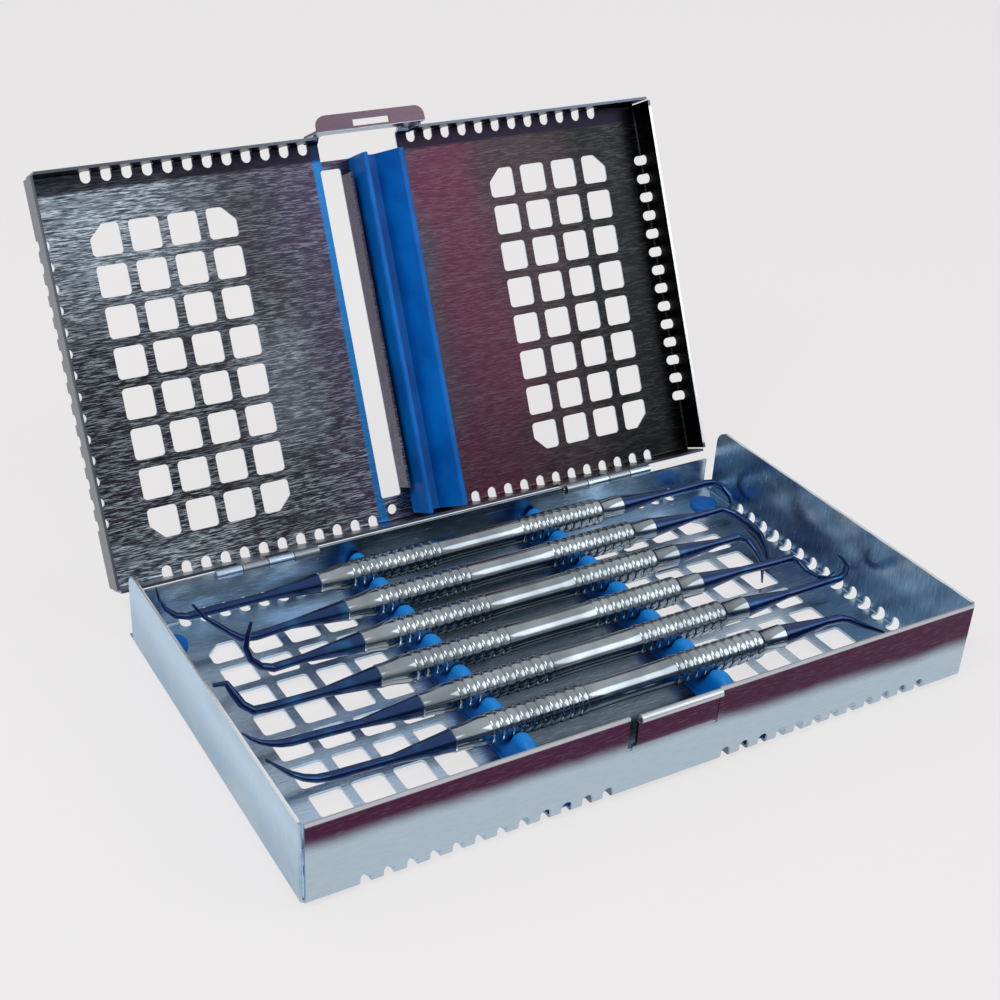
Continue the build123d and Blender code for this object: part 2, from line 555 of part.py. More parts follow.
def main():
    os.makedirs("parts", exist_ok=True)
    hinge = Axis((0, HINGE_Y, HINGE_Z), (1, 0, 0))
    parts = {
        "tray_shell": tray_shell(),
        "lid_shell": lid_shell().rotate(hinge, -OPEN_ANGLE),
        "lid_strip": lid_strip().rotate(hinge, -OPEN_ANGLE),
        "hinge_pin_left": hinge_pin(-1),
        "hinge_pin_right": hinge_pin(1),
        "tray_rail_left": tray_rail(-1),
        "tray_rail_right": tray_rail(1),
        "foot_front_left": foot(-FOOT_X, FOOT_FRONT_Y),
        "foot_front_right": foot(FOOT_X, FOOT_FRONT_Y),
        "foot_rear_left": foot(-FOOT_X, FOOT_REAR_Y),
        "foot_rear_right": foot(FOOT_X, FOOT_REAR_Y),
    }
    for number, tool in enumerate(INSTRUMENTS, 1):
        parts[f"handle_{number}"] = handle(tool)
        parts[f"tip_left_{number}"] = working_end(tool, -1)
        parts[f"tip_right_{number}"] = working_end(tool, 1)
    for name, shape in centred(parts).items():
        export_step(shape, f"parts/{name}.step")


if __name__ == "__main__":
    main()
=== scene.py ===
import json
import math

import bmesh
import bpy
from mathutils import Matrix, Vector


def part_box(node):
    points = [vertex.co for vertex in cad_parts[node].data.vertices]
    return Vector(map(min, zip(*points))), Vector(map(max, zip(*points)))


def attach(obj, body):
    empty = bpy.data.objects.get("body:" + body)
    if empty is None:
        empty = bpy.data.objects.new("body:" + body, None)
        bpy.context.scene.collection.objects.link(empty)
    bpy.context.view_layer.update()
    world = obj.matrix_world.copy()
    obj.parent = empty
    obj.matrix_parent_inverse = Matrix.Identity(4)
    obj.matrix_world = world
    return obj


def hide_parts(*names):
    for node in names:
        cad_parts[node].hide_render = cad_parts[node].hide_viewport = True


bl_info = {
    "name": "Dental instrument cassette",
    "version": (1, 0, 0),
    "blender": (4, 5, 0),
    "location": "View3D > Sidebar > Cassette",
    "description": "Dresses a hinged instrument cassette with brushed sheet, silicone and polished handles",
    "category": "Object",
}

MM = 0.001
INSTRUMENTS = 6
HINGE_BEHIND_MIDDLE = 57.0 * MM    # hinge axis behind the middle of the tray
WELD = 0.001 * MM                  # vertices nearer than this are one
TURNED_STEPS = 40                  # faces round a handle
SHARP_ANGLE = math.radians(38)     # edges of a handle that turn more than this stay sharp
CROWN_GRID = (20, 300)             # faces across and along the top of a rail
CROWN_RIM = 0.985                  # where a rail's section is cut off, as a share of its half width
CREST_HIGHLIGHT_BAND = (10.6, 11.8, 1.6)     # heights of the domes' lighter tops and how softly they fade, in mm
CREST_HIGHLIGHT_SHARE = 0.8                  # how much of the lighter colour is seen there
FLOOR_REACH = 6.0                  # metres
# A rib from left to right, as shares of its width and its height.
RIB_SECTION = ((-0.5, 0.0), (-0.45, 0.55), (-0.30, 1.0), (0.30, 1.0), (0.45, 0.55), (0.5, 0.0))

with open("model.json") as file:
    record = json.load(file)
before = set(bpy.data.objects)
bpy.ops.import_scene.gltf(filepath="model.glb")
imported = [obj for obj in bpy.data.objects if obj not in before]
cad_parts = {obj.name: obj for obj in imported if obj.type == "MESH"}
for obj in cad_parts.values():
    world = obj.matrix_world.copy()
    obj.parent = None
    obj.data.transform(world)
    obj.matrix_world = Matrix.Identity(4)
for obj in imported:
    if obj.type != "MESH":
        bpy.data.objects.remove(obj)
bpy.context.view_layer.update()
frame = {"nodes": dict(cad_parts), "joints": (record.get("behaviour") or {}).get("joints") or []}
nodes = frame["nodes"]
lid_hinge = next(joint for joint in frame["joints"] if joint["name"] == "lid_hinge")
hinge_place = Vector(lid_hinge["pos_m"])
open_angle = math.radians(max(abs(limit) for limit in lid_hinge["range_deg"]))
tray_middle = Vector((0, hinge_place.y - HINGE_BEHIND_MIDDLE, 0))


# ---------------------------------------------------------------- sizes and colours
def colour(name, description, value):
    return bpy.props.FloatVectorProperty(
        name=name, description=description, default=value, size=3, min=0, max=1, subtype="COLOR")


def length(name, description, value):
    return bpy.props.FloatProperty(name=name, description=description, default=value, unit="LENGTH")


def angle(name, description, value):
    return bpy.props.FloatProperty(
        name=name, description=description, default=math.radians(value), subtype="ANGLE")


def scalar(name, description, value):
    return bpy.props.FloatProperty(name=name, description=description, default=value)


class SheetSettings(bpy.types.PropertyGroup):
    pale: colour("Pale steel", "Outer walls where they catch the light", (0.50, 0.62, 0.71))
    side: colour("Side steel", "Outside of the lid, in its darker places", (0.44, 0.58, 0.70))
    # Painted reflection: the tray's outer left wall lighter towards its top.
    side_low: colour("Side steel below", "Foot of the outer left wall", (0.33, 0.49, 0.63))
    side_high: colour("Side steel above", "Top of the outer left wall", (0.56, 0.76, 0.93))
    # Painted reflection: a warm purple band along the top of the front wall.
    warm_reflection: colour("Warm cast", "Band along the top of the front wall", (0.075, 0.017, 0.054))
    floor: colour("Tray floor", "Polished floor inside the tray", (0.38, 0.50, 0.64))
    # Painted reflection: the polished floor lighter left of the rails.
    floor_left: colour("Tray floor left", "Polished floor left of the rails", (0.52, 0.68, 0.86))
    # Painted shade: the polished floor darkened under the handles.
    shade_under_handles: colour("Tray floor middle", "Polished floor under the handles", (0.11, 0.145, 0.18))
    # Painted shade: the inner right wall darker than the rest of the steel.
    right_wall_shade: colour("Deep steel", "Inner right wall", (0.24, 0.40, 0.58))
    # Painted shade: the inside of the rear wall darker.
    rear: colour("Rear wall", "Inside of the tray's rear wall", (0.20, 0.27, 0.33))
    # Painted reflections on the inside of the lid: the tones below run from dark grey at the left through a
    # reddish band to near black at the right.
    lid_left: colour("Lid left", "Inner lid plate over its left panel", (0.052, 0.050, 0.064))
    lid_shine: colour("Lid shine", "Places of the left panel that catch the light", (0.25, 0.30, 0.37))
    # Painted shade: the lid's outer left wall darker.
    lid_wall: colour("Lid wall", "Outer left wall of the lid", (0.16, 0.175, 0.20))
    lid_window: colour("Lid by the window", "Inner lid plate left of the window", (0.062, 0.050, 0.090))
    lid_near: colour("Lid by the strip", "Inner lid plate right of the strip", (0.056, 0.050, 0.070))
    lid_middle: colour("Lid middle", "Reddish band right of the strip, and the tab", (0.085, 0.030, 0.050))
    lid_grid: colour("Lid right panel", "Inner lid plate over its right panel", (0.045, 0.032, 0.038))
    lid_right: colour("Lid right", "Inner lid plate at its right end", (0.018, 0.018, 0.019))
    fold_shade: colour("Fold shade", "Lid plate along its front fold", (0.015, 0.013, 0.025))
    # Painted reflection of the blue silicone in the lid plate beside the window.
    silicone_reflection: colour("Blue cast", "Blue of the silicone seen in the lid plate", (0.01, 0.18, 0.50))
    # Painted highlights on the rims of the sheet, dimmer along the tray's front wall, with painted shade on
    # the lid's front, rear and left rims.
    edge: colour("Cut edge", "Rims of the sheet", (0.86, 0.88, 0.90))
    front_edge_highlight: colour("Front edge", "Rim of the front wall", (0.38, 0.35, 0.40))
    shaded_edge: colour("Dull edge", "Edges of the lid's front, rear and left walls", (0.10, 0.12, 0.16))
    # Painted highlight on the rolled hem.
    hem: colour("Hem", "Rolled hem of the front wall", (0.56, 0.60, 0.64))
    knuckle: colour("Knuckle", "Rolled knuckles of the lid", (0.30, 0.34, 0.38))
    # Painted highlight: bright glints on the brushed grain.
    glint: colour("Glint", "Bright brushed streaks", (0.72, 0.85, 0.92))
    tray_streak: colour("Tray streak", "Dark brushed streaks of the tray", (0.02, 0.02, 0.03))
    lid_streak: colour("Lid streak", "Dark brushed streaks of the lid", (0.01, 0.01, 0.012))
    streak_length: length("Streak length", "Length of a brushed streak", 4.0 * MM)
    streak_width: length("Streak width", "Width of a brushed streak", 0.35 * MM)
    pin: colour("Pin steel", "Drawn wire of the hinge pins", (0.42, 0.45, 0.5))
    pin_light: colour("Light pin steel", "Lighter marks of the hinge pins", (0.66, 0.69, 0.72))


class HingeWebSettings(bpy.types.PropertyGroup):
    top: length("Top", "Height of the rear wall's upstand", 15.2 * MM)
    foot: length("Foot", "Where the upstand starts, inside the rear wall", 12.0 * MM)
    notch_top: length("Notch top", "Top of the sheet behind a lid knuckle", 13.1 * MM)
    notch_foot: length("Notch foot", "Where that sheet starts", 10.3 * MM)
    face: length("Inner face", "Inner face, behind the tray's middle", 57.72 * MM)
    back: length("Outer face", "Outer face, behind the tray's middle", 58.48 * MM)
    outer_x: length("Hinge end", "Outer end of a hinge, from the middle", 73.8 * MM)
    knuckle: length("Knuckle pitch", "Length of a knuckle with its gap", 7.9 * MM)
    left_end: length("Left end", "Left end of the upstand, from the middle", 96.5 * MM)
    round_over: length("Round-over", "Softening of the sheet's top edge", 0.2 * MM)


class RailSettings(bpy.types.PropertyGroup):
    half_width: length("Half width", "Half the width of a rail", 3.0 * MM)
    pitch: length("Place pitch", "Distance between two places", 15.8 * MM)
    cradle: length("Cradle radius", "Radius of a cradle", 4.4 * MM)
    dome: length("Dome", "Half length of a dome between two places", 2.6 * MM)
    end_dome: length("End dome", "Half length of a dome at a rail's end", 2.5 * MM)
    base: length("Base", "Height of the rail's cut under its domes", 2.6 * MM)
    lap: length("Lap", "How far the domes reach down past that cut", 0.1 * MM)
    shoulder: scalar("Shoulder", "Squareness of a rail's section", 2.5)


class SiliconeSettings(bpy.types.PropertyGroup):
    body: colour("Silicone", "Blue silicone", (0.0, 0.145, 0.52))
    shade: colour("Silicone shade", "Blue silicone in its mottled places", (0.0, 0.085, 0.36))
    # Painted highlight on the tops of the rails' domes.
    crest: colour("Silicone crest", "Lighter tops of the rails' domes", (0.005, 0.19, 0.54))


class InstrumentSettings(bpy.types.PropertyGroup):
    steel: colour("Handle steel", "Polished handle", (0.36, 0.41, 0.45))
    dark_steel: colour("Dark handle steel", "Polished handle in its darker places", (0.22, 0.26, 0.29))
    turning: colour("Turning marks", "Fine marks round the handle", (0.30, 0.31, 0.33))
    coating: colour("Blue coating", "Coating of the working ends", (0.006, 0.030, 0.115))
    # Painted highlight: lighter patches of the coating at random, standing in for cyan highlights.
    coating_highlight: colour("Light coating", "Coating where it is thinner", (0.015, 0.17, 0.38))
    neck_radius: length("Neck radius", "Handle radius at its left end", 3.2 * MM)
    grip_radius: length("Grip radius", "Handle radius over the ribs", 4.1 * MM)
    root_radius: length("Root radius", "Handle radius between the ribs", 3.8 * MM)
    waist_radius: length("Waist radius", "Radius of the smooth middle", 3.7 * MM)
    waist_step: length("Waist step", "Drop from the ribs to the smooth middle", 0.15 * MM)
    collar_radius: length("Collar radius", "Radius of the plain collar at the right", 3.3 * MM)
    collar_step: length("Collar step", "Drop from the ribs to the collar", 0.2 * MM)
    collar_slope: length("Collar slope", "Length over which the collar narrows", 0.3 * MM)
    chamfer: length("Chamfer", "Chamfer at both ends", 0.25 * MM)
    neck_length: length("Neck length", "Plain part at the left end", 3.0 * MM)
    neck_share: scalar("Neck share", "Share of that part that is straight", 0.7)
    taper_length: length("Taper length", "Flare from the neck to the grip", 6.6 * MM)
    grip_length: length("Grip length", "Ribbed length", 29.5 * MM)
    collar_length: length("Collar length", "Plain length at the right end", 8.0 * MM)
    rib_pitch: length("Rib pitch", "Distance between ribs", 2.9 * MM)
    rib_width: length("Rib width", "Width of a rib at its root", 2.45 * MM)


class StageSettings(bpy.types.PropertyGroup):
    floor: colour("Floor", "Floor under the soft light", (0.80, 0.785, 0.79))
    backdrop: colour("Backdrop", "Floor as the camera and the steel see it", (0.815, 0.800, 0.808))
    backdrop_share: scalar("Backdrop share", "Share of the plain backdrop in the floor", 0.85)
    horizon: colour("Horizon", "Studio low down", (0.22, 0.24, 0.27))
    zenith: colour("Zenith", "Studio overhead", (1.0, 1.0, 1.0))
    horizon_height: scalar("Horizon height", "Where the studio starts to lighten", 0.12)
    zenith_height: scalar("Zenith height", "Where the studio is lightest", 0.62)
    sky_strength: scalar("Studio strength", "Strength of the studio's own light", 0.82)
    target: bpy.props.FloatVectorProperty(
        name="Target", description="Point the camera looks at", size=3, unit="LENGTH",
        default=(0.0, tray_middle.y + 0.0574, 0.015))
    distance: length("Distance", "Camera to target", 0.4681)
    azimuth: angle("Azimuth", "Camera direction about Z, from the front", -29.83)
    elevation: angle("Elevation", "Camera height above the floor plane", 30.41)
    roll: angle("Roll", "Camera tilt about its own axis", 2.31)
    lens: scalar("Lens", "Focal length in millimetres", 56.1)
    sensor: scalar("Sensor", "Sensor width in millimetres", 36.0)
    shift_x: scalar("Shift across", "Sideways shift of the frame", 0.0540)
    shift_y: scalar("Shift up", "Upward shift of the frame", 0.0175)


class TrayZones:
    """Zones of the tray's sheet, in millimetres from the middle of the tray: where one starts and is full.

    A strip has its two ends and how softly it fades. Clouds and streaks are spans of their noise.
    """
    side_grain = (1.2, 0.9)                # these four are depths in from the ends of the shell
    left_wall = (0.48, 0.32)
    right_wall = (2.4, 1.2)
    right_wall_outside = (0.32, 0.48)
    front_wall = (-58.0, -58.2)
    rear_wall = (56.8, 57.4)
    left_wall_rise = (4, 20)
    floor_left = (-38, -50)
    # Where the painted shade under the handles lies.
    shade_under_handles = (-30, 30, 9)
    floor_level = (4, 2)
    shade_under_handles_share = 0.9
    # The next four place a painted warm reflection along the top of the front wall.
    band_foot = 14.0                       # warm band along the front wall, at the middle
    band_fall = -0.026                     # how its foot drops to the right
    band_wave = 3.0
    band = (-3.0, 2.5)
    rim = (24.5, 24.8, 0.05)
    front_rim = (-56.5, -57.2)
    hem = (23.6, 24.0)
    floor_clouds = (0.40, 0.62)
    deep_clouds = (0.50, 0.70)
    rear_clouds = (0.62, 0.42)
    side_clouds = (0.35, 0.85)
    dark_streaks = (0.65, 0.30)
    light_streaks = (0.50, 0.75)
    streaks_inside = 0.22
    streaks_outside = -0.14                # added to that on the outer walls


class LidZones:
    """The same for the lid's sheet, measured where the lid closes."""
    fineness = 1.15                        # how much finer the streaks are than the tray's
    side_grain = (99.4, 99.7)
    front_outside = (-59.2, -59.4)
    rear_outside = (56.0, 56.2)
    right_outside = (99.9, 100.2)
    left_outside = (-99.9, -100.2)
    plate = (28.95, 28.85)
    wander = 30                            # how far the clouds push the tones apart
    wander_start = -15
    window_tone = (-38, -17)
    near_tone = (-6, 8)
    middle_tone = (14, 24)
    grid_tone = (33, 46)
    right_tone = (58, 76)
    front_corner_x = (-36, -86)
    front_corner_y = (0, -44)
    rear_corner_x = (-45, -85)
    rear_corner_y = (34, 52)
    rear_corner_share = 0.45
    patch_x = (-44, -34, 12)
    patch_y = (0, 18, 16)
    patch_share = 0.35
    corner_share = 0.8
    left_panel = (-30, -80)
    rear_half_x = (6, -12)
    rear_half_y = (6, 50)
    right_half = (10, -10)
    right_shine = 0.25
    plain_shine, left_shine, corner_shine, rear_shine = 0.16, 0.20, 0.50, 0.30
    plain_streaks, left_streaks = 0.35, 0.45
    # Where the painted reflection of the silicone lies.
    window_reflection = (-15.2, -13.4, 1.0)
    window_reflection_share = 0.85
    front_fold = (-53.0, -54.4)
    fold_share = 0.9
    tab = (-60.1, -60.5)
    tab_share = 0.9
    rim = (19.55, 19.85, 0.05)
    rear_rim = (53, 54)
    front_rim = (-56, -57)
    left_rim = (-98, -99)
    knuckle_y = (50, 52)
    knuckle_z = (19.5, 19.2)
    outer_clouds = (0.35, 0.65)
    light_streaks = (0.49, 0.61)
    dark_streaks = (0.49, 0.36)
    coarse_streaks = (0.22, 0.60)


# ---------------------------------------------------------------- material nodes
class Finish:
    """A material under construction, with short calls for the nodes it is made of."""

    def __init__(self, name):
        self.material = bpy.data.materials.new(name)
        self.material.use_nodes = True
        self.tree = self.material.node_tree
        self.shader = self.tree.nodes["Principled BSDF"]
        self.place = self.tree.nodes.new("ShaderNodeTexCoord").outputs["Object"]

    def node(self, kind, **inputs):
        made = self.tree.nodes.new(kind)
        for key, value in inputs.items():
            self.feed(made.inputs[key], value)
        return made

    def feed(self, socket, value):
        if isinstance(value, bpy.types.NodeSocket):
            self.tree.links.new(value, socket)
        elif socket.type == "RGBA":
            socket.default_value = (*value[:3], 1)
        else:
            socket.default_value = value

    def set(self, name, value):
        self.feed(self.shader.inputs[name], value)

    def math(self, operation, *values):
        made = self.tree.nodes.new("ShaderNodeMath")
        made.operation = operation
        for socket, value in zip(made.inputs, values):
            self.feed(socket, value)
        return made.outputs[0]

    def both(self, first, second):
        return self.math("MULTIPLY", first, second)

    def either(self, first, second):
        return self.math("MAXIMUM", first, second)

    def line(self, value, slope, offset):
        """offset + slope * value."""
        return self.math("MULTIPLY_ADD", value, slope, offset)

    def mapped(self, source, location=(0, 0, 0), rotation=(0, 0, 0), scale=(1, 1, 1)):
        made = self.node("ShaderNodeMapping", Vector=source, Location=location,
                         Rotation=rotation, Scale=scale)
        return made.outputs[0]

    def split(self, source):
        return self.node("ShaderNodeSeparateXYZ", Vector=source).outputs

    def join(self, x, y, z):
        return self.node("ShaderNodeCombineXYZ", X=x, Y=y, Z=z).outputs[0]

    def ramp(self, value, low, high):
        """0 below low, 1 above high, smooth between; low may be above high."""
        falls = low > high
        made = self.tree.nodes.new("ShaderNodeMapRange")
        made.interpolation_type = "SMOOTHSTEP"
        self.feed(made.inputs["Value"], value)
        self.feed(made.inputs["From Min"], min(low, high))
        self.feed(made.inputs["From Max"], max(low, high))
        self.feed(made.inputs["To Min"], 1.0 if falls else 0.0)
        self.feed(made.inputs["To Max"], 0.0 if falls else 1.0)
        return made.outputs["Result"]

    def zone(self, value, ends):
        """Ramp between two places in millimetres."""
        return self.ramp(value, ends[0] * MM, ends[1] * MM)

    def strip(self, value, ends):
        """1 between two places in millimetres, fading over the third on both sides."""
        low, high, soft = ends
        return self.both(self.zone(value, (low - soft, low)), self.zone(value, (high + soft, high)))

    def blend(self, share, first, second):
        made = self.tree.nodes.new("ShaderNodeMix")
        made.data_type = "RGBA"
        self.feed(made.inputs[0], share)
        self.feed(made.inputs[6], first)
        self.feed(made.inputs[7], second)
        return made.outputs[2]

    def noise(self, source, scale, detail=2.0, roughness=0.5):
        made = self.node("ShaderNodeTexNoise", Vector=source, Scale=scale,
                         Detail=detail, Roughness=roughness)
        return made.outputs[0]

    def bump(self, height, strength, distance):
        made = self.node("ShaderNodeBump", Height=height, Strength=strength, Distance=distance)
        return made.outputs[0]


def dress(names, material):
    """Gives CAD nodes a material."""
    for name in names:
        mesh = nodes[name].data
        mesh.materials.clear()
        mesh.materials.append(material)


def brushed(finish, place, sheet, side_share, fineness=1.0):
    """Streaks that run along the sheet, turned to run up the side walls, from 0 to 1."""
    along = fineness / sheet.streak_length
    across = fineness / sheet.streak_width
    x, y, z = finish.split(place)
    rise = finish.math("ADD", across, finish.both(side_share, along - across))
    stretched = finish.join(finish.both(x, along), finish.both(y, across), finish.both(z, rise))
    return finish.noise(stretched, scale=1.0, detail=3.0, roughness=0.6)


def inside(end, depths):
    """Places, in millimetres, that lie these depths in from an end of a node."""
    inward = -1 if end > 0 else 1
    return tuple(end / MM + inward * depth for depth in depths)


def tray_place(finish):
    """Object coordinates measured from the middle of the tray."""
    return finish.mapped(finish.place, location=tuple(-tray_middle))


def lid_place(finish):
    """The same, turned back to where the lid is when it is closed."""
    turn = Matrix.Rotation(open_angle, 3, "X")
    offset = hinge_place - turn @ hinge_place - tray_middle
    return finish.mapped(finish.place, location=tuple(offset), rotation=(open_angle, 0, 0))


def tray_sheet(sheet):
    """Brushed stainless sheet of the tray, polished inside, with painted reflections that make it pale
    outside and darker inside.
    """
    finish = Finish("tray_sheet")
    zones = TrayZones
    place = tray_place(finish)
    x, y, z = finish.split(place)
    low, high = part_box("tray_shell")
    side_share = finish.zone(finish.math("ABSOLUTE", x), inside(high.x, zones.side_grain))
    streak = brushed(finish, place, sheet, side_share)
    cloud = finish.noise(finish.mapped(place, scale=(1, 1, 2)), scale=42.0)
    front = finish.zone(y, zones.front_wall)
    left = finish.zone(x, inside(low.x, zones.left_wall))
    outside = finish.either(front, left)

    base = finish.blend(finish.ramp(cloud, *zones.floor_clouds), sheet.floor, sheet.pale)
    # Painted reflection: the polished floor lighter left of the rails.
    base = finish.blend(finish.zone(x, zones.floor_left), base, sheet.floor_left)
    # Painted shade on the floor under the handles, between the rails.
    handle_shade_mask = finish.both(finish.strip(x, zones.shade_under_handles), finish.zone(z, zones.floor_level))
    base = finish.blend(finish.both(handle_shade_mask, zones.shade_under_handles_share), base, sheet.shade_under_handles)

    # Painted shade on the inner right wall, in cloudy patches.
    right = finish.both(finish.zone(x, inside(high.x, zones.right_wall)),
                        finish.zone(x, inside(high.x, zones.right_wall_outside)))
    right_wall_shade = finish.blend(finish.ramp(cloud, *zones.deep_clouds), sheet.right_wall_shade, sheet.pale)
    base = finish.blend(right, base, right_wall_shade)
    # Painted shade on the inside of the rear wall, in cloudy patches.
    behind = finish.both(finish.zone(y, zones.rear_wall), finish.ramp(cloud, *zones.rear_clouds))
    base = finish.blend(behind, base, sheet.rear)
    # Painted reflection: the tray's outer left wall lighter towards its top.
    side = finish.blend(finish.zone(z, zones.left_wall_rise), sheet.side_low, sheet.side_high)
    base = finish.blend(left, base, finish.blend(finish.ramp(cloud, *zones.side_clouds), side, sheet.pale))

    # Painted reflection: the warm band along the top of the front wall, its foot wavering with the clouds.
    band_foot = finish.line(x, zones.band_fall, zones.band_foot * MM)
    band_wave = finish.line(cloud, zones.band_wave * MM, band_foot)
    band = finish.zone(finish.math("SUBTRACT", z, band_wave), zones.band)
    base = finish.blend(front, base, finish.blend(band, sheet.pale, sheet.warm_reflection))

    contrast = finish.line(outside, zones.streaks_outside, zones.streaks_inside)
    dark = finish.both(finish.ramp(streak, *zones.dark_streaks), contrast)
    base = finish.blend(dark, base, sheet.tray_streak)
    # Light streaks: the brushed grain with painted highlight glints.
    light = finish.both(finish.ramp(streak, *zones.light_streaks), contrast)
    base = finish.blend(light, base, sheet.glint)

    # Painted highlight on the tray's rims, dimmer along the front wall.
    rim = finish.strip(z, zones.rim)
    rim_light_and_shade = finish.blend(finish.zone(y, zones.front_rim), sheet.edge, sheet.front_edge_highlight)
    base = finish.blend(rim, base, rim_light_and_shade)
    # Painted highlight on the rolled hem.
    base = finish.blend(finish.both(finish.zone(z, zones.hem), front), base, sheet.hem)

    rough = finish.line(streak, 0.16, 0.16)
    rough = finish.line(outside, 0.16, rough)
    finish.set("Base Color", base)
    finish.set("Metallic", 1.0)
    finish.set("Roughness", finish.line(rim, -0.12, rough))
    finish.set("Normal", finish.bump(streak, strength=0.25, distance=0.05 * MM))
    return finish.material


def lid_plate(finish, sheet, x, y, cloud):
    """Colour of the lid's inner plate from left to right as painted reflections, and its places that catch
    the light as painted highlights.
    """
    zones = LidZones
    wander = finish.line(cloud, zones.wander * MM, finish.math("ADD", x, zones.wander_start * MM))
    plate = sheet.lid_left
    for ends, tone in ((zones.window_tone, sheet.lid_window), (zones.near_tone, sheet.lid_near),
                       (zones.middle_tone, sheet.lid_middle), (zones.grid_tone, sheet.lid_grid),
                       (zones.right_tone, sheet.lid_right)):
        plate = finish.blend(finish.zone(wander, ends), plate, tone)
    front_corner = finish.both(finish.zone(x, zones.front_corner_x), finish.zone(y, zones.front_corner_y))
    rear_corner = finish.both(finish.zone(x, zones.rear_corner_x), finish.zone(y, zones.rear_corner_y))
    patch = finish.both(finish.strip(x, zones.patch_x), finish.strip(y, zones.patch_y))
    lit = finish.either(front_corner, finish.both(rear_corner, zones.rear_corner_share))
    lit = finish.either(lit, finish.both(patch, zones.patch_share))
    plate = finish.blend(finish.both(lit, zones.corner_share), plate, sheet.lid_shine)
    return plate, lit, finish.zone(wander, zones.left_panel)


def lid_sheet(sheet):
    """Brushed stainless sheet of the lid, with painted reflections in its tones and bright streaks across
    the inner plate as painted highlights.
    """
    finish = Finish("lid_sheet")
    zones = LidZones
    place = lid_place(finish)
    x, y, z = finish.split(place)
    side_share = finish.zone(finish.math("ABSOLUTE", x), zones.side_grain)
    streak = brushed(finish, place, sheet, side_share, zones.fineness)
    coarse = finish.noise(finish.mapped(place, scale=(40, 420, 420)), scale=1.0, detail=3.0, roughness=0.6)
    cloud = finish.noise(place, scale=30.0, detail=1.5)

    outside = finish.either(finish.zone(y, zones.front_outside), finish.zone(y, zones.rear_outside))
    outside = finish.either(outside, finish.zone(x, zones.right_outside))
    inner = finish.both(finish.zone(z, zones.plate), finish.math("SUBTRACT", 1.0, outside))
    plate, lit, left_share = lid_plate(finish, sheet, x, y, cloud)
    outer = finish.blend(finish.ramp(cloud, *zones.outer_clouds), sheet.side, sheet.pale)
    base = finish.blend(inner, outer, plate)

    # Painted highlights: bright streaks where the plate catches the light.
    rear = finish.both(finish.zone(y, zones.rear_half_y), finish.zone(x, zones.rear_half_x))
    amount = finish.line(left_share, zones.left_shine, zones.plain_shine)
    amount = finish.line(lit, zones.corner_shine, amount)
    amount = finish.line(rear, zones.rear_shine, amount)
    right_share = finish.line(finish.zone(x, zones.right_half), 1 - zones.right_shine, zones.right_shine)
    shine = finish.both(finish.ramp(streak, *zones.light_streaks),
                        finish.ramp(coarse, *zones.coarse_streaks))
    shine = finish.both(finish.both(shine, amount), right_share)
    base = finish.blend(finish.both(shine, inner), base, sheet.glint)
    dim = finish.line(left_share, zones.left_streaks, zones.plain_streaks)
    base = finish.blend(finish.both(finish.ramp(streak, *zones.dark_streaks), dim), base, sheet.lid_streak)

    # Painted reflection of the blue silicone in the lid plate beside the window.
    reflected_blue = finish.both(finish.strip(x, zones.window_reflection), finish.both(inner, zones.window_reflection_share))
    base = finish.blend(reflected_blue, base, sheet.silicone_reflection)
    fold = finish.both(finish.zone(y, zones.front_fold), inner)
    base = finish.blend(finish.both(fold, zones.fold_share), base, sheet.fold_shade)
    # Painted reflection: the tab in the reddish tone of the lid's middle.
    tab = finish.both(finish.zone(y, zones.tab), zones.tab_share)
    base = finish.blend(tab, base, sheet.lid_middle)
    knuckle = finish.both(finish.zone(z, zones.knuckle_z), finish.zone(y, zones.knuckle_y))
    base = finish.blend(knuckle, base, sheet.knuckle)

    # Painted highlight on the lid's rims, painted shade on those of its front, rear and left walls.
    shaded_rims = finish.either(finish.zone(y, zones.rear_rim), finish.zone(y, zones.front_rim))
    shaded_rims = finish.either(shaded_rims, finish.zone(x, zones.left_rim))
    rim_light_and_shade = finish.blend(shaded_rims, sheet.edge, sheet.shaded_edge)
    base = finish.blend(finish.strip(z, zones.rim), base, rim_light_and_shade)
    # Painted shade: the lid's outer left wall darker.
    base = finish.blend(finish.zone(x, zones.left_outside), base, sheet.lid_wall)
    finish.set("Base Color", base)
    finish.set("Metallic", 1.0)
    finish.set("Roughness", finish.line(streak, 0.20, 0.22))
    finish.set("Normal", finish.bump(streak, strength=0.35, distance=0.06 * MM))
    return finish.material


def pin_steel(sheet):
    """Drawn steel wire of the hinge pins."""
    finish = Finish("pin_steel")
    grain = finish.noise(finish.mapped(finish.place, scale=(200, 2500, 2500)), scale=1.0)
    finish.set("Base Color", finish.blend(grain, sheet.pin, sheet.pin_light))
    finish.set("Metallic", 1.0)
    finish.set("Roughness", finish.line(grain, 0.2, 0.2))
    return finish.material


